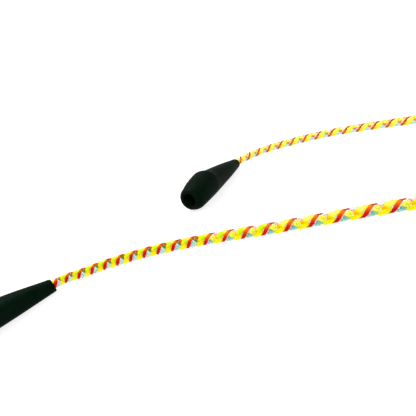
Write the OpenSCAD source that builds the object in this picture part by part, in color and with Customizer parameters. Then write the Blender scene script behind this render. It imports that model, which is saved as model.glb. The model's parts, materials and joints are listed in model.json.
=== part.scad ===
// Eyeglass retainer strap: a colourful braided cord with a soft rubber sleeve at each end.
// A temple tip of a pair of glasses pushes into the wide mouth of each sleeve. The cord comes
// out of the narrow tip, and a crimped ferrule behind the sleeve's neck stops it pulling out,
// so each sleeve can swivel on its cord end. The strap lies flat, in one open loop, on z = 0.
// +Y runs along the two sleeves, +X towards the closed end of the loop.

/* [Cord] */
// Diameter of the braided cord
cord_d = 4; // [3.6:0.1:4.2]
// Length of cord held inside each sleeve
cord_end_length = 21; // [20:0.5:22]

/* [Sleeves] */
// Length of a sleeve, from its tip to its mouth
sleeve_length = 50; // [48:1:56]
// Diameter of the tip, where the cord comes out
tip_d = 5.3; // [5.2:0.1:6]
// Width of a sleeve at its hump
hump_width = 14.2; // [13:0.2:15]
// Height of a sleeve at its hump
hump_height = 13.2; // [12.6:0.2:14]
// Width just inside the rounded mouth
mouth_width = 12.2; // [11:0.2:12.6]
// Height just inside the rounded mouth
mouth_height = 11.4; // [10.6:0.2:11.8]

/* [Bores] */
// Diameter of the socket that grips a temple tip
socket_d = 5.8; // [5.4:0.1:6]
// Depth of the socket, from the mouth
socket_depth = 26; // [22:0.5:26]
// Length of the neck that the cord runs through
neck_length = 11; // [10:0.5:12]
// Radial clearance between the cord end and the neck
neck_clearance = 0.05; // [0.02:0.01:0.1]

/* [Crimped ferrules] */
// Outer diameter of a ferrule
ferrule_d = 4.8; // [4.7:0.1:5]
// Length of a ferrule
ferrule_length = 8; // [6:0.5:8.5]
// Depth of the grooves rolled into a ferrule to grip the cord
groove_depth = 0.2; // [0.1:0.05:0.25]

/* [Hidden] */

rubber = [0.03, 0.07, 0.055];
yarn = [0.95, 0.78, 0.1];
metal = [0.72, 0.72, 0.7];

cord_r = cord_d / 2;
exit_z = tip_d / 2;                  // height of the cord's exit at a tip
socket_z = mouth_height / 2 + 0.4;   // height of the bore's axis at a mouth
bore_tilt = atan((socket_z - exit_z) / sleeve_length);
bore_length = sleeve_length / cos(bore_tilt);
chamber_d = ferrule_d + 0.6;         // the ferrule turns freely in its chamber
shoulder_taper = 0.6;                // length of the taper between chamber and socket
ferrule_gap = 0.3;                   // between the ferrule and the neck's shoulder
overrun = 1;                         // how far a cutting tool runs past a face

// Each sleeve lies along its heading, from its mouth to its tip.
near_tip = [-6.9, -29.3, exit_z];
near_heading = 70.5;
far_tip = [19.9, 77.4, exit_z];
far_heading = 93;

// Direction in which the cord leaves a tip, sloping down to the surface
function exit_direction(heading) =
    [cos(bore_tilt) * cos(heading), cos(bore_tilt) * sin(heading), -sin(bore_tilt)];

near_exit = exit_direction(near_heading);
far_exit = exit_direction(far_heading);

// The cord's route over the surface, from the near sleeve round the loop to the far sleeve
lead = 4;                            // straight stretch out of each tip
surface_route = [
    [0.5, -20.5], [9.2, -13.8], [20.7, -7], [34, -1.1], [50, 4.3], [67.7, 9.4], [85.7, 15.1],
    [102, 20.1], [120, 25], [140, 29.5], [160, 33], [180, 35.5], [198, 38], [213, 43.5],
    [223.5, 53.5], [227, 66], [223.5, 78.5], [213, 88], [198, 93], [180, 95], [160, 96.5],
    [140, 98], [122, 100], [105, 102.1], [93, 103.6], [80, 104.8], [67, 105.1], [54, 103.6],
    [42, 100.2], [32.5, 96.5], [25, 91]
];
route = concat(
    [near_tip - lead * near_exit, near_tip, near_tip + lead * near_exit],
    [for (p = surface_route) [p[0], p[1], cord_r]],
    [far_tip + lead * far_exit, far_tip, far_tip - lead * far_exit]
);

// Smooth curve through a list of points: its place and direction between points i and i + 1
function curve(p, i, t) =
    ((2 * p[i]) + (p[i + 1] - p[i - 1]) * t
     + (2 * p[i - 1] - 5 * p[i] + 4 * p[i + 1] - p[i + 2]) * pow(t, 2)
     + (3 * p[i] - p[i - 1] - 3 * p[i + 1] + p[i + 2]) * pow(t, 3)) / 2;
function curve_direction(p, i, t) =
    (p[i + 1] - p[i - 1])
    + 2 * (2 * p[i - 1] - 5 * p[i] + 4 * p[i + 1] - p[i + 2]) * t
    + 3 * (3 * p[i] - p[i - 1] - 3 * p[i + 1] + p[i + 2]) * pow(t, 2);
function unit(v) = v / norm(v);

// A ring of points about a centre, square to a direction, with its own width and height
function ring(centre, direction, width, height, sides) =
    let (along = unit(direction),
         across = unit(cross([0, 0, 1], along)),
         up = cross(along, across))
    [for (k = [0:sides - 1])
        centre + across * width / 2 * cos(360 * k / sides)
               + up * height / 2 * sin(360 * k / sides)];

// Closed skin over a row of rings that all have the same number of points
module skin(rings) {
    sides = len(rings[0]);
    count = len(rings);
    points = [for (r = rings) each r];
    walls = [for (i = [0:count - 2], k = [0:sides - 1])
        let (a = i * sides + k, b = i * sides + (k + 1) % sides)
        each [[a, a + sides, b], [b, a + sides, b + sides]]];
    first = [for (k = [0:sides - 1]) k];
    last = [for (k = [sides - 1:-1:0]) (count - 1) * sides + k];
    polyhedron(points = points, faces = concat([first], walls, [last]));
}

// Sleeve sections: distance from the tip, width, height and the height of the middle. The
// underside is straight, on the surface, and the hump is on top. The tip and the mouth have
// rounded edges.
function on_surface(distance, width, height) = [distance, width, height, height / 2];
sleeve_sections = [
    [0, tip_d * 0.9, tip_d * 0.9, tip_d / 2],
    on_surface(0.8, tip_d, tip_d),
    on_surface(0.26 * sleeve_length, hump_width * 0.66, hump_height * 0.63),
    on_surface(0.46 * sleeve_length, hump_width * 0.82, hump_height * 0.8),
    on_surface(0.62 * sleeve_length, hump_width * 0.95, hump_height * 0.96),
    on_surface(0.7 * sleeve_length, hump_width, hump_height),
    on_surface(0.84 * sleeve_length, hump_width * 0.94, hump_height * 0.94),
    on_surface(sleeve_length - 4, mouth_width, mouth_height),
    [sleeve_length - 1.2, mouth_width * 0.94, mouth_height * 0.94, mouth_height / 2],
    [sleeve_length, mouth_width * 0.8, mouth_height * 0.8, mouth_height / 2]
];
section_steps = 3;
sleeve_sides = 32;

// The sleeve's outside, along its own axis: tip at the origin, mouth towards -X
module sleeve_shell() {
    last = sleeve_sections[len(sleeve_sections) - 1];
    s = concat([sleeve_sections[0]], sleeve_sections, [last]);
    steps = [for (i = [1:len(s) - 3], t = [0:section_steps - 1])
        curve(s, i, t / section_steps)];
    skin([for (q = concat(steps, [last]))
        ring([-q[0], 0, max(q[3], q[2] / 2)], [-1, 0, 0], q[1], q[2], sleeve_sides)]);
}

// Turned shapes lie along the tilted axis of the bores: z in their profile is the distance
// behind the tip
module along_bore() {
    translate([0, 0, exit_z])
        rotate([0, bore_tilt, 0])
            rotate([0, -90, 0])
                children();
}

module place(tip, heading) {
    translate([tip[0], tip[1], 0]) rotate([0, 0, heading]) children();
}

// The way through a sleeve: the neck, the ferrule's chamber with a tapered shoulder, and the
// socket
module way_through() {
    neck_r = cord_r + neck_clearance;
    shoulder = bore_length - socket_depth;
    along_bore()
        rotate_extrude($fn = 48)
            polygon([
                [0, -overrun],
                [neck_r, -overrun],
                [neck_r, neck_length],
                [chamber_d / 2, neck_length],
                [chamber_d / 2, shoulder - shoulder_taper],
                [socket_d / 2, shoulder],
                [socket_d / 2, bore_length + overrun],
                [0, bore_length + overrun]
            ]);
}

module sleeve() {
    difference() {
        sleeve_shell();
        way_through();
    }
}

module cord_end() {
    along_bore() cylinder(d = cord_d, h = cord_end_length, $fn = 48);
}

// Ferrule profile: a thin tube with three rolled grooves round the cord
module ferrule() {
    groove = ferrule_length / 7;
    along_bore()
        translate([0, 0, neck_length + ferrule_gap])
            rotate_extrude($fn = 48)
                difference() {
                    translate([cord_r, 0])
                        square([ferrule_d / 2 - cord_r, ferrule_length]);
                    for (i = [1, 3, 5])
                        translate([ferrule_d / 2 - groove_depth, i * groove])
                            square([groove_depth + overrun, groove]);
                }
}

cord_steps = 2;
cord_sides = 10;

module cord_run() {
    color(yarn)
        skin(concat(
            [for (i = [1:len(route) - 3], t = [0:cord_steps - 1])
                let (at = t / cord_steps)
                ring(curve(route, i, at), curve_direction(route, i, at),
                     cord_d, cord_d, cord_sides)],
            [ring(far_tip, -far_exit, cord_d, cord_d, cord_sides)]));
}

module near_cord_end() {
    color(yarn) place(near_tip, near_heading) cord_end();
}

module far_cord_end() {
    color(yarn) place(far_tip, far_heading) cord_end();
}

module near_ferrule() {
    color(metal) place(near_tip, near_heading) ferrule();
}

module far_ferrule() {
    color(metal) place(far_tip, far_heading) ferrule();
}

module near_sleeve() {
    color(rubber) place(near_tip, near_heading) sleeve();
}

module far_sleeve() {
    color(rubber) place(far_tip, far_heading) sleeve();
}

cord_run();
near_cord_end();
far_cord_end();
near_ferrule();
far_ferrule();
near_sleeve();
far_sleeve();
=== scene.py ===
"""Looks of the eyeglass retainer strap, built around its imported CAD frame.

The braided cord is laid up from separate stitches of yarn that wind round a core, and the two
rubber sleeves are lofted shells with a real bore. The object's lengths are in millimetres until
MM turns them into metres. The studio's are in metres.
"""

import json
import math

import bpy
import numpy as np
from mathutils import Matrix, Vector


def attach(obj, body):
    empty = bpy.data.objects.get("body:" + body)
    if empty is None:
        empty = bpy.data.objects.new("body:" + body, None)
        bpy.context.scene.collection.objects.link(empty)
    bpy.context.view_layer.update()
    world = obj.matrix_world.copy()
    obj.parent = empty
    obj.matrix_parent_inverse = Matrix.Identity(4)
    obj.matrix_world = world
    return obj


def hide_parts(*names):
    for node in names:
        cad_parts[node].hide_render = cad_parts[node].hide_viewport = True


MM = 0.001

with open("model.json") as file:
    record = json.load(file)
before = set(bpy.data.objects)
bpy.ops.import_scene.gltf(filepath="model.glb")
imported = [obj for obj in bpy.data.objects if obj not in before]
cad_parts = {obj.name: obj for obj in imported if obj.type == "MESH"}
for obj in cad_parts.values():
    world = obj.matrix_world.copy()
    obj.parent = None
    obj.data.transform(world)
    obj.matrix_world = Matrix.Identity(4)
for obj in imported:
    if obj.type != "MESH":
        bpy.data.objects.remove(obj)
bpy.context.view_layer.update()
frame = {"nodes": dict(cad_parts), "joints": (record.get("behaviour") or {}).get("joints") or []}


def link(name, data):
    """A new object with this mesh, light or camera, in the scene."""
    thing = bpy.data.objects.new(name, data)
    bpy.context.scene.collection.objects.link(thing)
    return thing


# ---------------------------------------------------------------- sizes shared with the CAD

CORD_D = 4.0
CORD_END = 21.0  # length of cord held inside each sleeve
TIP_D = 5.3
SLEEVE_LENGTH = 50.0
HUMP_WIDTH = 14.2
HUMP_HEIGHT = 13.2
MOUTH_WIDTH = 12.2
MOUTH_HEIGHT = 11.4
SOCKET_D = 5.8
SOCKET_DEPTH = 26.0
CHAMBER_D = 5.4  # room in which the ferrule turns
SHOULDER = 0.6  # length of the taper between the chamber and the socket
NECK_LENGTH = 11.0

EXIT_Z = TIP_D / 2  # height of the cord's exit at a tip
SOCKET_Z = MOUTH_HEIGHT / 2 + 0.4  # height of the bore's axis at a mouth
BORE_TILT = math.atan((SOCKET_Z - EXIT_Z) / SLEEVE_LENGTH)


def sleeve_place(side):
    """Where a sleeve's tip is and which way it heads, from the joint that it turns on."""
    joint = next(j for j in frame["joints"] if j["name"] == side + "_swivel")
    x, y, _ = joint["pos_m"]
    ahead_x, ahead_y, _ = joint["axis"]
    return {"tip": (x / MM, y / MM), "heading": math.atan2(ahead_y, ahead_x)}


SLEEVES = {side: sleeve_place(side) for side in ("near", "far")}

# The cord's route over the surface, from the near sleeve round the loop to the far sleeve
SURFACE_ROUTE = [
    (0.5, -20.5), (9.2, -13.8), (20.7, -7), (34, -1.1), (50, 4.3), (67.7, 9.4), (85.7, 15.1),
    (102, 20.1), (120, 25), (140, 29.5), (160, 33), (180, 35.5), (198, 38), (213, 43.5),
    (223.5, 53.5), (227, 66), (223.5, 78.5), (213, 88), (198, 93), (180, 95), (160, 96.5),
    (140, 98), (122, 100), (105, 102.1), (93, 103.6), (80, 104.8), (67, 105.1), (54, 103.6),
    (42, 100.2), (32.5, 96.5), (25, 91),
]
LEAD = 4.0  # straight stretch out of each tip
ROUTE_STEPS = 24  # points of the centreline to each stretch of the route


def exit_point(sleeve):
    return np.array([*sleeve["tip"], EXIT_Z])


def exit_direction(sleeve):
    """The way the cord leaves a sleeve's tip, sloping down to the surface."""
    level = math.cos(BORE_TILT)
    return np.array([
        level * math.cos(sleeve["heading"]),
        level * math.sin(sleeve["heading"]),
        -math.sin(BORE_TILT),
    ])


# ---------------------------------------------------------------- camera

CAMERA_AT = (122.2, -80.8, 58.5)
CAMERA_TURN = math.radians(40)  # to the left of +Y
CAMERA_DOWN = math.radians(21.84)
CAMERA_ROLL = math.radians(20.94)
SENSOR = 36.0
LENS = 30.3
CLIP_START = 5.0
CLIP_END = 20000.0


def make_camera():
    data = bpy.data.cameras.new("camera")
    data.sensor_width = SENSOR
    data.lens = LENS
    data.clip_start = CLIP_START * MM
    data.clip_end = CLIP_END * MM
    camera = link("camera", data)
    level = Vector((-math.sin(CAMERA_TURN), math.cos(CAMERA_TURN), 0))
    right = Vector((math.cos(CAMERA_TURN), math.sin(CAMERA_TURN), 0))
    up = Vector((0, 0, 1))
    forward = level * math.cos(CAMERA_DOWN) - up * math.sin(CAMERA_DOWN)
    head = level * math.sin(CAMERA_DOWN) + up * math.cos(CAMERA_DOWN)
    side = right * math.cos(CAMERA_ROLL) - head * math.sin(CAMERA_ROLL)
    top = right * math.sin(CAMERA_ROLL) + head * math.cos(CAMERA_ROLL)
    turn = Matrix((side, top, -forward)).transposed()
    camera.matrix_world = Matrix.Translation(Vector(CAMERA_AT) * MM) @ turn.to_4x4()
    bpy.context.scene.camera = camera


# ---------------------------------------------------------------- the cord's centreline


def curve(p, i, t):
    """Smooth curve through a list of points, between points i and i + 1."""
    return (
        2 * p[i]
        + (p[i + 1] - p[i - 1]) * t
        + (2 * p[i - 1] - 5 * p[i] + 4 * p[i + 1] - p[i + 2]) * t**2
        + (3 * p[i] - p[i - 1] - 3 * p[i + 1] + p[i + 2]) * t**3
    ) / 2


class Line:
    """A centreline with its length along it and a frame (along, up, side) at every point."""

    def __init__(self, points):
        self.points = points
        steps = np.linalg.norm(np.diff(points, axis=0), axis=1)
        self.at = np.concatenate([[0], np.cumsum(steps)])
        self.length = self.at[-1]
        along = np.gradient(points, self.at, axis=0)
        self.along = along / np.linalg.norm(along, axis=1)[:, None]

    def sample(self, s):
        """Points and frames at the distances s along the line."""
        s = np.clip(s, 0, self.length)
        place = np.stack([np.interp(s, self.at, self.points[:, k]) for k in range(3)], -1)
        along = np.stack([np.interp(s, self.at, self.along[:, k]) for k in range(3)], -1)
        along /= np.linalg.norm(along, axis=-1, keepdims=True)
        side = np.cross(along, np.array([0.0, 0.0, 1.0]))
        side /= np.linalg.norm(side, axis=-1, keepdims=True)
        up = np.cross(side, along)
        return place, along, up, side


def cord_line():
    """The cord's whole centreline, from its end in the near sleeve to its end in the far one."""
    near, near_way = exit_point(SLEEVES["near"]), exit_direction(SLEEVES["near"])
    far, far_way = exit_point(SLEEVES["far"]), exit_direction(SLEEVES["far"])
    free = [near - LEAD * near_way, near, near + LEAD * near_way]
    free += [np.array([x, y, CORD_D / 2]) for x, y in SURFACE_ROUTE]
    free += [far + LEAD * far_way, far, far - LEAD * far_way]
    points = [near - CORD_END * near_way]
    for i in range(1, len(free) - 2):
        points += [curve(free, i, t / ROUTE_STEPS) for t in range(ROUTE_STEPS)]
    points += [far, far - CORD_END * far_way]
    return Line(np.array(points))


# ---------------------------------------------------------------- mesh helpers


def smooth(mesh):
    mesh.polygons.foreach_set("use_smooth", [True] * len(mesh.polygons))


class Builder:
    """Collects closed tubes of quads. Each tube has a material number and two vectors at every
    point, which the materials read: "fibre", the place along and round the yarn, and "shade",
    the place along the stitch, from -1 to 1, and the height on the cord."""

    def __init__(self):
        self.points, self.fibre, self.shade = [], [], []
        self.faces, self.materials = [], []
        self.count = 0

    def tube(self, rings, material, fibre, shade):
        """rings: n rings of m points. The two ends are closed by caps."""
        n, m, _ = rings.shape
        self.points.append(rings.reshape(-1, 3))
        self.fibre.append(fibre.reshape(-1, 3))
        self.shade.append(shade.reshape(-1, 3))
        i, k = np.meshgrid(np.arange(n - 1), np.arange(m), indexing="ij")
        a = self.count + i * m + k
        b = self.count + i * m + (k + 1) % m
        quads = np.stack([a, b, b + m, a + m], -1).reshape(-1, 4).tolist()
        first = [self.count + q for q in reversed(range(m))]
        last = [self.count + (n - 1) * m + q for q in range(m)]
        self.faces += [*quads, first, last]
        self.materials += [material] * (len(quads) + 2)
        self.count += n * m

    def make(self, name, materials):
        mesh = bpy.data.meshes.new(name)
        mesh.from_pydata((np.concatenate(self.points) * MM).tolist(), [], self.faces)
        for material in materials:
            mesh.materials.append(material)
        mesh.polygons.foreach_set("material_index", self.materials)
        smooth(mesh)
        for key, rows in (("fibre", self.fibre), ("shade", self.shade)):
            layer = mesh.attributes.new(key, "FLOAT_VECTOR", "POINT")
            layer.data.foreach_set("vector", np.concatenate(rows).astype(np.float32).ravel())
        mesh.update()
        return link(name, mesh)


# ---------------------------------------------------------------- the braided cord

# The braid's bands wind round the cord, and their pitch is shorter next to the sleeves, where
# the braid is packed tighter: distance along the whole cord, and the pitch there
PITCH = [
    (0, 5.2), (25, 5.2), (45, 5.5), (60, 5.85), (75, 6.5), (88, 7.3), (105, 7.3), (125, 8.1),
    (145, 7.8), (300, 7.75), (425, 6.6), (440, 6.9), (455, 7.35), (485, 6.9), (500, 6.4),
    (541, 6.8),
]
TURN_AT_START = 0.17  # share of a turn that the bands have made at the cord's near end
# How full the braid stands next to the cord's own size, along the cord
FULLNESS = [
    (0, 0.9), (CORD_END, 0.93), (30, 1.0), (50, 1.04), (75, 1.07), (105, 1.07), (150, 1.03),
    (300, 1.0), (430, 0.97), (490, 0.98), (512, 0.95), (520, 0.92), (541, 0.9),
]
BRAID_RANGE = (5.2, 8.0)  # the pitch where the braid is tightest and where it is widest

# The yarns, by their numbers among the cord's materials
(RED, RED_PAINTED_SHADE, RED_PAINTED_LIGHT, YELLOW, LIME, LEMON, GOLD,
 TEAL, AQUA, PALE, WHITE, SALMON, MOSS_AND_PAINTED_SHADE, RUST, CORE) = range(15)

# Each band of the braid. Angles go round the cord from its underside, in degrees.
#   at      where the band crosses the underside, as a share of the pitch
#   turn    stitches in one turn, the yarn of each listed, from the angle "first"
#   tight   their yarns where the braid is packed tight, at pitches below "tight_below"
#   reach   half of the angle that a stitch covers
#   width   how wide a stitch is where the braid is tightest and where it is widest, in mm
#   lean    how steeply it runs along the cord there, next to the band's own slope
#   shift   how far it lies from "at" there, as a share of the pitch
#   dive    how deep its ends go under the neighbouring bands, in mm
#   thick   how thick a stitch is, in mm
#   lift    how far its crown stands out from the cord's own surface, in mm
#   lobes   yarns that lie side by side in the stitch
#   rings   points along the stitch
RED_BAND = {
    "at": 0.0, "turn": 2, "first": 120, "reach": 101, "lean": (1.08, 0.93), "shift": (0, -0.045),
    "width": (1.3, 1.3), "thick": 1.35, "lift": 0.08, "dive": 0.35, "lobes": 2, "rings": 13,
    # the second stitch of each turn, on the other side of the cord, takes a lighter, more orange
    # copy of the red yarn: painted light
    "yarns": [RED, RED_PAINTED_LIGHT],
    # the packed stretches take a darker copy of the red yarn: painted shade
    "tight": [RED_PAINTED_SHADE, RED_PAINTED_LIGHT],
    "tight_below": 7.0,
}
PLIED_BAND = {
    "at": 0.31, "turn": 12, "first": 15, "reach": 23, "lean": (-2.0, -2.3), "shift": (0, -0.02),
    "width": (1.0, 1.12), "thick": 1.2, "lift": -0.14, "dive": 0.6, "lobes": 1, "rings": 7,
    "yarns": [TEAL, TEAL, TEAL, PALE, PALE, SALMON, WHITE, PALE, RUST, AQUA, AQUA, AQUA],
    # MOSS_AND_PAINTED_SHADE, at 135 degrees where the braid is packed: partly olive yarn, partly
    # painted shade of the packed stitches
    "tight": [AQUA, AQUA, AQUA, AQUA, MOSS_AND_PAINTED_SHADE, RUST, PALE, PALE, RUST, AQUA, AQUA, AQUA],
    "tight_below": 7.2,
}
YELLOW_BAND = {
    "at": 0.65, "turn": 4, "first": 58, "reach": 54, "lean": (2.0, 2.0), "shift": (0, 0),
    "width": (1.88, 1.92), "thick": 1.5, "lift": 0.04, "dive": 0.75, "lobes": 3, "rings": 10,
    "yarns": [YELLOW, LEMON, GOLD, YELLOW],
    "tight": [YELLOW, LIME, GOLD, YELLOW],
    "tight_below": 7.4,
}
BANDS = [RED_BAND, PLIED_BAND, YELLOW_BAND]

# What all stitches share
WIDTH_TAPER = 0.45  # how much narrower they are at their ends, as a share
THICK_TAPER = 0.3  # how much thinner they are there
WIDTH_CHANCE = 0.04  # how much their widths differ by chance, as a share
LIFT_CHANCE = 0.03  # how much their heights differ by chance, in mm
GROOVE = 0.22  # depth of the grooves between the yarns of a stitch, as a share of its thickness
SINGLE_SIDES = 7  # sides of a stitch of one yarn
LOWEST = 0.01  # the lowest that any yarn lies above the surface
TIGHT_SHADE = 0.12  # how much higher up the cord the colours lie, for each mm less of pitch
YARN_TWIST = 2 * math.pi / 9  # radians a millimetre: the fibres make one turn in 9 mm

SEED = 7

CORE_R = 1.4725
CORE_STEP = 2.0
CORE_SIDES = 8


def profile(table, s):
    """The value of a table of (distance, value) pairs at the distances s along the cord."""
    return np.interp(s, *zip(*table))


def turns_along(line):
    """How many turns the bands have made at each point of the line, and the pitch there."""
    pitch = profile(PITCH, line.at)
    turns = np.concatenate([[0], np.cumsum(np.diff(line.at) * 2 / (pitch[1:] + pitch[:-1]))])
    return turns + TURN_AT_START, pitch


def around(line, s, angle, radius):
    """Points at an angle round the line, counted from the underside by way of its side, and
    the way out to each."""
    place, _, up, side = line.sample(s)
    out = -np.cos(angle)[..., None] * up + np.sin(angle)[..., None] * side
    return place + out * radius[..., None], out


def outline(lobes):
    """Points round the section of a stitch of one yarn, or of yarns side by side with grooves
    between them: their angles, and their places across and up, from -1 to 1."""
    if lobes == 1:
        phi = np.radians(np.arange(0, 360, 360 / SINGLE_SIDES))
        return phi, np.cos(phi), np.sin(phi)
    top = np.linspace(0, 180, 2 * lobes + 3)
    under = np.linspace(180, 360, lobes + 2)[1:-1]
    phi = np.radians([*top, *under])
    across, up = np.cos(phi), np.sin(phi)
    groove = 0.5 + 0.5 * np.cos(math.pi * lobes * (across + 1))
    return phi, across, up * np.where(up > 0, 1 - GROOVE * groove, 1)


def unit_rows(vectors):
    """A row of vectors, each brought to length 1."""
    return vectors / np.linalg.norm(vectors, axis=1)[:, None]


def stitch_spine(line, s0, angle0, pitch, band, chance, thick, t):
    """The middle of a stitch at the places t along it, the way out of the cord and the angle."""
    reach = math.radians(band["reach"])
    angle = angle0 + reach * t
    s = s0 + pitch / (2 * math.pi) * reach * t * np.interp(pitch, BRAID_RANGE, band["lean"])
    radius = (CORD_D / 2 + band["lift"] + LIFT_CHANCE * chance) * profile(FULLNESS, s0)
    radius = radius - thick / 2 - band["dive"] * np.abs(t) ** 3
    centre, out = around(line, s, angle, radius)
    return centre, out, angle


def stitch(line, s0, angle0, pitch, band, chance):
    """One stitch of yarn: it comes up from under the band beside it, crosses the cord's
    surface and dives under the next. chance, from -1 to 1, makes it a little wider and fuller."""
    t = np.linspace(-1, 1, band["rings"])
    width = np.interp(pitch, BRAID_RANGE, band["width"]) * (1 - WIDTH_TAPER * t**4)
    width = width * (1 + WIDTH_CHANCE * chance)
    thick = band["thick"] * (1 - THICK_TAPER * t**4)
    centre, out, angle = stitch_spine(line, s0, angle0, pitch, band, chance, thick, t)
    sideways = unit_rows(np.cross(out, unit_rows(np.gradient(centre, axis=0))))
    phi, across, up = outline(band["lobes"])
    rings = (
        centre[:, None]
        + sideways[:, None] * (width / 2)[:, None, None] * across[None, :, None]
        + out[:, None] * (thick / 2)[:, None, None] * up[None, :, None]
    )
    rings[..., 2] = np.maximum(rings[..., 2], LOWEST)
    along = np.concatenate([[0], np.cumsum(np.linalg.norm(np.diff(centre, axis=0), axis=1))])
    turned = phi[None] + along[:, None] * YARN_TWIST
    fibre = np.broadcast_arrays(along[:, None] + s0, np.cos(turned), np.sin(turned))
    height = -np.cos(angle) - TIGHT_SHADE * (BRAID_RANGE[1] - pitch)
    shade = np.broadcast_arrays(t[:, None], height[:, None], np.zeros((1, len(phi))))
    return rings, np.stack(fibre, -1), np.stack(shade, -1)


def lay_band(build, line, band, turns, pitches, chances):
    """All the stitches of one band, over the whole cord."""
    step = 1 / band["turn"]
    first = band["first"] / 360
    before = math.floor((turns[0] - first - band["at"]) / step)
    beyond = math.ceil((turns[-1] - first - band["at"]) / step)
    for k in range(before + 1, beyond):
        angle = first + k * step
        s0 = float(np.interp(angle + band["at"], turns, line.at))
        pitch = float(np.interp(s0, line.at, pitches))
        s0 += pitch * float(np.interp(pitch, BRAID_RANGE, band["shift"]))
        half = pitch * band["reach"] / 360 * abs(band["lean"][1]) + band["width"][1] / 2
        chance = chances.uniform(-1, 1)
        if half < s0 < line.length - half:
            rings, fibre, shade = stitch(line, s0, 2 * math.pi * angle, pitch, band, chance)
            yarns = band["tight" if pitch < band["tight_below"] else "yarns"]
            build.tube(rings, yarns[k % band["turn"]], fibre, shade)


def lay_core(build, line):
    """The plain core yarns that show in the gaps between the stitches."""
    s = np.arange(0, line.length, CORE_STEP)
    phi = np.linspace(0, 2 * math.pi, CORE_SIDES, endpoint=False)
    grid_s, grid_phi = np.meshgrid(s, phi, indexing="ij")
    rings, _ = around(line, grid_s, grid_phi, np.full(grid_s.shape, CORE_R))
    fibre = np.stack([grid_s, np.cos(grid_phi), np.sin(grid_phi)], -1)
    build.tube(rings, CORE, fibre, np.zeros(fibre.shape))


def lay_up_braid(line):
    turns, pitches = turns_along(line)
    chances = np.random.default_rng(SEED)
    build = Builder()
    for band in BANDS:
        lay_band(build, line, band, turns, pitches, chances)
    lay_core(build, line)
    return build


# ---------------------------------------------------------------- the sleeves

SIDES = 96
TIP_ROUNDING = 1.8  # length of the tip's rounded end
TIP_END_D = 4.45  # diameter of that end, round the cord
TIP_FULL_D = TIP_D + 0.3  # diameter just behind it
TIP_GAP = 0.1  # how far the rounding stays behind the tip's face
TIP_STEPS = 6
MOUTH_ROUNDING = 4.0  # length of the mouth's rounded edge
MOUTH_REACH = 0.96  # share of that length that the rounding covers
MOUTH_TURN_IN = 2.4  # how far the rounded edge turns in
MOUTH_STEPS = 8
ELLIPSE = 2  # the power of a section's outline: more than this is squarer
SQUARER = 0.25  # how much squarer the body's sections are
SQUARE_FROM = 12.0  # distance from the tip at which they are fully that square
BODY_STEPS = 5
NECK_D = CORD_D + 0.25
NECK_EDGE_D = CORD_D + 0.3  # at the neck's two rims


def on_surface(distance, width, height):
    """A section that rests on the surface, with its middle at half its height."""
    return (distance, width, height, height / 2)


# Sections of a sleeve's outside: distance from the tip, width, height, height of the middle
OUTSIDE = [
    on_surface(TIP_ROUNDING, TIP_FULL_D, TIP_FULL_D),
    on_surface(0.26 * SLEEVE_LENGTH, HUMP_WIDTH * 0.66, HUMP_HEIGHT * 0.63),
    on_surface(0.46 * SLEEVE_LENGTH, HUMP_WIDTH * 0.82, HUMP_HEIGHT * 0.79),
    on_surface(0.59 * SLEEVE_LENGTH, HUMP_WIDTH * 0.92, HUMP_HEIGHT * 0.89),
    on_surface(0.65 * SLEEVE_LENGTH, HUMP_WIDTH * 0.98, HUMP_HEIGHT * 0.98),
    on_surface(0.7 * SLEEVE_LENGTH, HUMP_WIDTH, HUMP_HEIGHT),
    on_surface(0.84 * SLEEVE_LENGTH, HUMP_WIDTH * 0.94, HUMP_HEIGHT * 0.94),
    on_surface(SLEEVE_LENGTH - MOUTH_ROUNDING, MOUTH_WIDTH, MOUTH_HEIGHT),
]


def section(distance, width, height, middle, power):
    """A ring of the sleeve in its own frame: tip at the origin, mouth towards -X."""
    phi = np.linspace(0, 2 * math.pi, SIDES, endpoint=False)
    c, s = np.cos(phi), np.sin(phi)
    y = np.sign(c) * np.abs(c) ** (2 / power) * width / 2
    z = np.sign(s) * np.abs(s) ** (2 / power) * height / 2 + middle
    return np.stack([np.full(SIDES, -distance), y, z], -1)


def bore_ring(distance, diameter):
    """A ring of the bore, whose axis slopes up from the cord's exit to the mouth."""
    phi = np.linspace(0, 2 * math.pi, SIDES, endpoint=False)
    y, up = np.cos(phi) * diameter / 2, np.sin(phi) * diameter / 2
    x = -distance * math.cos(BORE_TILT) + up * math.sin(BORE_TILT)
    z = EXIT_Z + distance * math.sin(BORE_TILT) + up * math.cos(BORE_TILT)
    return np.stack([x, y, z], -1)


def tip_rings():
    """The rounded end of the tip, from its lip outwards."""
    rings = []
    for a in np.linspace(0, math.pi / 2, TIP_STEPS, endpoint=False):
        across = TIP_FULL_D - (TIP_FULL_D - TIP_END_D) * (1 - math.sin(a))
        distance = TIP_ROUNDING - (TIP_ROUNDING - TIP_GAP) * math.cos(a)
        rings.append(section(distance, across, across, max(TIP_D, across) / 2, ELLIPSE))
    return rings


def body_rings():
    """The outside between the two rounded ends, on a smooth curve through its sections."""
    stations = [np.array(q) for q in OUTSIDE]
    stations = [2 * stations[0] - stations[1], *stations, stations[-1]]
    rings = []
    for i in range(1, len(stations) - 2):
        for t in range(BODY_STEPS):
            distance, width, height, middle = curve(stations, i, t / BODY_STEPS)
            power = ELLIPSE + SQUARER * min(1.0, distance / SQUARE_FROM)
            rings.append(section(distance, width, height, max(middle, height / 2), power))
    return rings


def mouth_rings():
    """The rounded edge of the mouth."""
    rings = []
    for a in np.linspace(0, math.pi / 2, MOUTH_STEPS, endpoint=False):
        distance = SLEEVE_LENGTH - MOUTH_ROUNDING * (1 - math.sin(a) * MOUTH_REACH)
        less = 2 * MOUTH_TURN_IN * (1 - math.cos(a))
        power = ELLIPSE + SQUARER * math.cos(a)
        rings.append(section(distance, MOUTH_WIDTH - less, MOUTH_HEIGHT - less,
                             MOUTH_HEIGHT / 2, power))
    return rings


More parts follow.
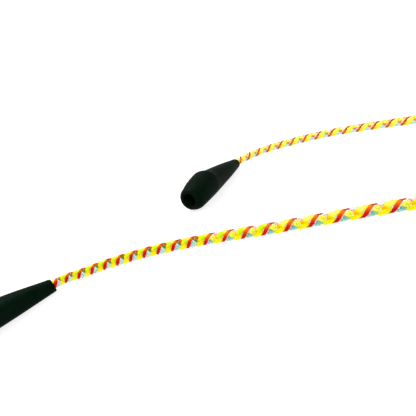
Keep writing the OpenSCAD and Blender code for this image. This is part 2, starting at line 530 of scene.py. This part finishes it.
def bore_rings():
    """The way back through the socket, the ferrule's chamber and the neck, with soft edges:
    distance from the tip along the bore's axis, and diameter."""
    mouth = SLEEVE_LENGTH / math.cos(BORE_TILT)
    end = mouth - SOCKET_DEPTH
    lip = [(mouth - 0.1, SOCKET_D + 0.9), (mouth - 0.5, SOCKET_D + 0.25), (mouth - 1.2, SOCKET_D)]
    socket = [((mouth + end) / 2, SOCKET_D), (end, SOCKET_D)]
    chamber = [(end - SHOULDER, CHAMBER_D), (NECK_LENGTH + 0.2, CHAMBER_D)]
    neck = [(NECK_LENGTH, NECK_EDGE_D), (NECK_LENGTH / 2, NECK_D), (1.2, NECK_D)]
    exit_edge = [(0.5, NECK_EDGE_D)]
    return [bore_ring(*station) for station in lip + socket + chamber + neck + exit_edge]


def make_sleeve(name, sleeve, node, material):
    """One sleeve as a closed shell: the rings joined into a ring of rings."""
    rings = np.array(tip_rings() + body_rings() + mouth_rings() + bore_rings())
    h = sleeve["heading"]
    turn = np.array([[math.cos(h), -math.sin(h), 0], [math.sin(h), math.cos(h), 0], [0, 0, 1]])
    points = rings.reshape(-1, 3) @ turn.T + np.array([*sleeve["tip"], 0])
    count = len(rings)
    ring, spot = np.meshgrid(np.arange(count), np.arange(SIDES), indexing="ij")
    start, next_start = ring * SIDES, (ring + 1) % count * SIDES
    next_spot = (spot + 1) % SIDES
    corners = [start + spot, next_start + spot, next_start + next_spot, start + next_spot]
    quads = np.stack(corners, -1).reshape(-1, 4)
    mesh = bpy.data.meshes.new(name)
    mesh.from_pydata((points * MM).tolist(), [], quads.tolist())
    mesh.materials.append(material)
    smooth(mesh)
    mesh.update()
    thing = link(name, mesh)
    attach(thing, node)
    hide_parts(node)


# ---------------------------------------------------------------- materials


class Nodes:
    """A small helper that adds shader nodes and links them."""

    def __init__(self, name):
        self.material = bpy.data.materials.new(name)
        self.material.use_nodes = True
        self.tree = self.material.node_tree
        self.surface = self.tree.nodes["Principled BSDF"]

    def add(self, kind, **values):
        node = self.tree.nodes.new(kind)
        for key, value in values.items():
            if hasattr(node, key):
                setattr(node, key, value)
            else:
                node.inputs[key.replace("_", " ")].default_value = value
        return node

    def join(self, output, to):
        self.tree.links.new(output, to)

    def attribute(self, name):
        return self.add("ShaderNodeAttribute", attribute_name=name)

    def ramp(self, value, stops):
        """The colour that the stops, pairs of position and colour, give for a value."""
        node = self.add("ShaderNodeValToRGB")
        ramp = node.color_ramp
        while len(ramp.elements) < len(stops):
            ramp.elements.new(0.5)
        for element, (position, colour) in zip(ramp.elements, stops):
            element.position = position
            element.color = (*colour, 1)
        self.join(value, node.inputs["Fac"])
        return node.outputs["Color"]

    def remap(self, value, low, high, to_low, to_high):
        """A value carried from the range low to high over to the range to_low to to_high."""
        node = self.add("ShaderNodeMapRange", From_Min=low, From_Max=high,
                        To_Min=to_low, To_Max=to_high)
        self.join(value, node.inputs["Value"])
        return node.outputs["Result"]

    def stretched(self, vector, scales):
        """A vector with each part multiplied by its own constant scale."""
        node = self.add("ShaderNodeVectorMath", operation="MULTIPLY")
        self.join(vector, node.inputs[0])
        node.inputs[1].default_value = scales
        return node.outputs["Vector"]

    def noise(self, vector, scale, detail, roughness):
        node = self.add("ShaderNodeTexNoise", Scale=scale, Detail=detail, Roughness=roughness)
        self.join(vector, node.inputs["Vector"])
        return node.outputs["Fac"]

    def mix(self, share, colour, other):
        """The first colour with a share of the other, a constant one, over it."""
        node = self.add("ShaderNodeMix", data_type="RGBA")
        self.join(share, node.inputs["Factor"])
        self.join(colour, node.inputs["A"])
        node.inputs["B"].default_value = (*other, 1)
        return node.outputs["Result"]

    def multiply(self, colour, value):
        """A colour made darker or lighter by a value."""
        node = self.add("ShaderNodeVectorMath", operation="SCALE")
        self.join(colour, node.inputs["Vector"])
        self.join(value, node.inputs["Scale"])
        return node.outputs["Vector"]

    def set(self, **values):
        """Constants on the shader's own sockets."""
        for key, value in values.items():
            self.surface.inputs[key.replace("_", " ")].default_value = value

    def bump(self, height, strength, distance):
        node = self.add("ShaderNodeBump", Strength=strength, Distance=distance)
        self.join(height, node.inputs["Height"])
        self.join(node.outputs["Normal"], self.surface.inputs["Normal"])


STRAND_STRETCH = (0.5, 3.2, 3.2)  # fibres are long along the yarn and fine round it
FLECK_STRETCH = (1.3, 1.9, 1.9)
FLECK_EDGE = 0.07  # how softly a fleck ends


def yarn_material(name, colours, flecks=None, along="height"):
    """Spun yarn: fine fibres that run along it, over a colour that changes with the height on
    the cord or along the stitch. For the red yarns and the yellow band's upper stitches, part of
    that change is painted light and shade. colours are (place, colour), from -1 at the bottom or
    at the stitch's start to 1. flecks are a colour spun in here and there, and the noise level
    above which it shows."""
    n = Nodes(name)
    fibre = n.attribute("fibre").outputs["Vector"]
    strands = n.noise(n.stretched(fibre, STRAND_STRETCH), scale=2.2, detail=5.0, roughness=0.65)
    shade = n.add("ShaderNodeSeparateXYZ")
    n.join(n.attribute("shade").outputs["Vector"], shade.inputs[0])
    place = n.remap(shade.outputs["Y" if along == "height" else "X"], -1, 1, 0, 1)
    colour = n.ramp(place, [((x + 1) / 2, c) for x, c in colours])
    if flecks:
        fleck_colour, level = flecks
        spots = n.noise(n.stretched(fibre, FLECK_STRETCH), scale=1.6, detail=2.0, roughness=0.5)
        colour = n.mix(n.remap(spots, level, level + FLECK_EDGE, 0, 1), colour, fleck_colour)
    colour = n.multiply(colour, n.remap(strands, 0.3, 0.6, 0.66, 1.06))
    n.join(colour, n.surface.inputs["Base Color"])
    n.set(Roughness=0.6, Sheen_Weight=0.02, Sheen_Roughness=0.4, Specular_IOR_Level=0.06)
    n.bump(strands, strength=0.6, distance=0.0002)
    return n.material


YELLOW_DEEP = (1.0, 0.84, 0.0)
YELLOW_BRIGHT = (1.0, 0.97, 0.0)
# pale yellow: partly a paler yarn, partly painted highlight where the light falls on the top of the
# cord
YELLOW_PALE_PAINTED_HIGHLIGHT = (0.97, 1.0, 0.16)
YELLOW_SOFT = (1.0, 1.0, 0.06)
LIME_SHADE = (0.6, 0.88, 0.0)
AMBER = (1.0, 0.42, 0.0)
# painted shade: the darkest red, at the lower start of the red stitches
MAROON_PAINTED_SHADE = (0.34, 0.0, 0.0)
DARK_RED = (0.66, 0.004, 0.0)
# painted shade: the dark red of the red stitches' shaded parts, chiefly where they run under the
# neighbouring bands
BRICK_PAINTED_SHADE = (0.5, 0.035, 0.0)
SCARLET = (0.84, 0.05, 0.0)
EMBER = (0.68, 0.1, 0.0)
ORANGE = (0.95, 0.19, 0.003)
SEA_GREEN = (0.22, 0.62, 0.54)
ICE = (0.62, 0.92, 0.9)
DARK_TEAL = (0.06, 0.22, 0.2)
OLIVE = (0.12, 0.2, 0.02)
SNOW = (0.98, 0.98, 0.96)
ROSE = (0.85, 0.27, 0.17)


def yarn_materials():
    """The yarns, in the order of their numbers."""
    return [
        # yarn_red: partly the yarn's own red and orange, partly painted shade towards its lower
        # start and painted light from above towards the top of the cord; the dark red at its far
        # end is painted shade where it dives under the next band
        yarn_material("yarn_red", [(-0.8, MAROON_PAINTED_SHADE), (-0.5, DARK_RED), (-0.25, DARK_RED),
                                   (0.0, SCARLET), (0.3, ORANGE), (0.5, ORANGE),
                                   (0.6, EMBER), (0.8, BRICK_PAINTED_SHADE)], along="stitch"),
        # the same red yarn, kept dark further up the stitch: painted shade for the packed stretches
        # next to the sleeves
        yarn_material("yarn_red_painted_shade", [(-0.8, MAROON_PAINTED_SHADE), (-0.5, DARK_RED), (0.0, DARK_RED),
                                       (0.2, SCARLET), (0.4, ORANGE), (0.5, EMBER),
                                       (0.75, BRICK_PAINTED_SHADE)], along="stitch"),
        # the same red yarn, lighter and more orange, for the second stitch of each turn on the
        # other side of the cord: painted light
        yarn_material("yarn_red_painted_light", [(-0.75, BRICK_PAINTED_SHADE), (-0.5, EMBER), (-0.3, ORANGE),
                                     (-0.05, EMBER), (0.2, BRICK_PAINTED_SHADE), (0.8, SCARLET)],
                      along="stitch"),
        yarn_material("yarn_yellow", [(-0.8, YELLOW_BRIGHT), (0.3, YELLOW_DEEP)]),
        # yarn_lime and yarn_lemon go on the yellow band's stitches across the top of the cord:
        # their pale yellow is partly a paler yarn, partly painted highlight from the light above
        yarn_material("yarn_lime", [(-0.8, AMBER), (-0.5, YELLOW_DEEP), (-0.2, LIME_SHADE),
                                    (0.3, LIME_SHADE), (0.7, YELLOW_PALE_PAINTED_HIGHLIGHT)], along="stitch"),
        yarn_material("yarn_lemon", [(-0.6, AMBER), (-0.35, YELLOW_DEEP), (-0.05, YELLOW_PALE_PAINTED_HIGHLIGHT),
                                     (0.6, YELLOW_PALE_PAINTED_HIGHLIGHT), (0.9, LIME_SHADE)],
                      flecks=(LIME_SHADE, 0.56), along="stitch"),
        yarn_material("yarn_gold", [(-0.9, AMBER), (-0.4, YELLOW_SOFT), (0.6, YELLOW_SOFT),
                                    (0.9, YELLOW_DEEP)], along="stitch"),
        yarn_material("yarn_teal", [(-0.9, ICE), (-0.2, SEA_GREEN)], flecks=(DARK_TEAL, 0.57)),
        yarn_material("yarn_aqua", [(-1, ICE), (0.2, ICE), (0.7, SEA_GREEN)],
                      flecks=(DARK_TEAL, 0.58)),
        yarn_material("yarn_pale", [(-1, YELLOW_SOFT), (1, YELLOW_SOFT)], flecks=(OLIVE, 0.59)),
        yarn_material("yarn_white", [(-1, ICE), (0.2, SNOW)], flecks=(DARK_TEAL, 0.57)),
        yarn_material("yarn_salmon", [(-1, SNOW), (1, SNOW)], flecks=(ROSE, 0.45)),
        # partly olive yarn, partly painted shade: the dark streak between packed stitches
        yarn_material("yarn_moss_and_painted_shade", [(-1, OLIVE), (1, OLIVE)], flecks=(SEA_GREEN, 0.62)),
        yarn_material("yarn_rust", [(0.1, ROSE), (0.6, EMBER)], flecks=(OLIVE, 0.6)),
        yarn_material("yarn_core", [(-1, SNOW), (1, SNOW)]),
    ]


BLACK_GREEN = (0.0003, 0.002, 0.0009)
DARK_GREEN = (0.0012, 0.006, 0.0028)
DULL_GREEN = (0.012, 0.03, 0.018)


def rubber_material():
    """Soft matt rubber: a fine dusty grain over patches that are more or less polished."""
    n = Nodes("sleeve_rubber")
    place = n.add("ShaderNodeTexCoord").outputs["Object"]
    smear = n.noise(place, scale=90.0, detail=3.0, roughness=0.55)
    grain = n.noise(place, scale=4200.0, detail=2.0, roughness=0.6)
    colour = n.ramp(smear, [(0.3, BLACK_GREEN), (0.7, DARK_GREEN)])
    dust = n.remap(grain, 0.5, 0.8, 0, 0.6)
    n.join(n.mix(dust, colour, DULL_GREEN), n.surface.inputs["Base Color"])
    n.join(n.remap(smear, 0, 1, 0.42, 0.58), n.surface.inputs["Roughness"])
    n.set(Specular_IOR_Level=0.02, Specular_Tint=(0.35, 1, 0.5, 1))
    n.bump(grain, strength=0.5, distance=0.0001)
    return n.material


DULL_METAL = (0.5, 0.5, 0.49)
BRIGHT_METAL = (0.68, 0.68, 0.67)


def metal_material():
    """Rolled aluminium, a little duller in places."""
    n = Nodes("ferrule_metal")
    place = n.add("ShaderNodeTexCoord").outputs["Object"]
    marks = n.noise(place, scale=1500.0, detail=3.0, roughness=0.6)
    colour = n.ramp(marks, [(0.3, DULL_METAL), (0.7, BRIGHT_METAL)])
    n.join(colour, n.surface.inputs["Base Color"])
    n.set(Metallic=1.0, Roughness=0.38)
    n.bump(marks, strength=0.2, distance=0.00003)
    return n.material


# ---------------------------------------------------------------- surface and light, in metres

FLOOR_HALF = 12.0
STRAP_MIDDLE = (0.08, 0.03, 0)
KEY_AT = (-0.35, 0.1, 0.8)
FILL_AT = (0.6, -0.6, 0.5)
STUDIO_LEVEL = 0.75  # strength of the world's light on the strap and the floor
BACKDROP_LEVEL = 1.05  # strength at which the camera sees it


def make_floor():
    """A wide white sheet that stays white under soft light."""
    mesh = bpy.data.meshes.new("floor")
    corners = [(x * FLOOR_HALF, y * FLOOR_HALF, 0) for x, y in ((-1, -1), (1, -1), (1, 1), (-1, 1))]
    mesh.from_pydata(corners, [], [(0, 1, 2, 3)])
    floor = link("floor", mesh)
    n = Nodes("floor_white")
    n.set(Base_Color=(0.3, 0.3, 0.3, 1), Roughness=0.9, Specular_IOR_Level=0.0)
    n.set(Emission_Color=(1, 1, 1, 1), Emission_Strength=0.8)
    mesh.materials.append(n.material)


def make_world():
    """An even white studio. It is brighter as a backdrop than as a light on the strap."""
    world = bpy.data.worlds.new("studio")
    world.use_nodes = True
    tree = world.node_tree
    background = tree.nodes["Background"]
    background.inputs["Color"].default_value = (1, 1, 1, 1)
    rays = tree.nodes.new("ShaderNodeLightPath")
    level = tree.nodes.new("ShaderNodeMapRange")
    level.inputs["To Min"].default_value = STUDIO_LEVEL
    level.inputs["To Max"].default_value = BACKDROP_LEVEL
    tree.links.new(rays.outputs["Is Camera Ray"], level.inputs["Value"])
    tree.links.new(level.outputs["Result"], background.inputs["Strength"])
    bpy.context.scene.world = world


def make_light(name, place, target, size, power):
    """A round soft light, aimed at its target: its size in metres and its power in watts."""
    data = bpy.data.lights.new(name, "AREA")
    data.shape = "DISK"
    data.size = size
    data.energy = power
    lamp = link(name, data)
    lamp.location = Vector(place)
    lamp.rotation_mode = "QUATERNION"
    lamp.rotation_quaternion = (Vector(target) - Vector(place)).to_track_quat("-Z", "Y")


def make_studio():
    make_floor()
    make_world()
    make_light("key", KEY_AT, STRAP_MIDDLE, size=0.35, power=6.5)
    make_light("fill", FILL_AT, STRAP_MIDDLE, size=0.6, power=1.5)
    bpy.context.scene.view_settings.view_transform = "Standard"


# ---------------------------------------------------------------- assembly


def make_cord(line):
    cord = lay_up_braid(line).make("cord_braid", yarn_materials())
    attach(cord, "cord")
    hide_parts("cord_run", "near_cord_end", "far_cord_end")


def make_sleeves():
    rubber = rubber_material()
    for side, sleeve in SLEEVES.items():
        make_sleeve(side + "_sleeve_rubber", sleeve, side + "_sleeve", rubber)


def finish_ferrules():
    """The ferrules keep their CAD shape, in metal."""
    metal = metal_material()
    for side in SLEEVES:
        ferrule = frame["nodes"][side + "_ferrule"]
        ferrule.data.materials.clear()
        ferrule.data.materials.append(metal)


make_camera()
make_cord(cord_line())
make_sleeves()
finish_ferrules()
make_studio()
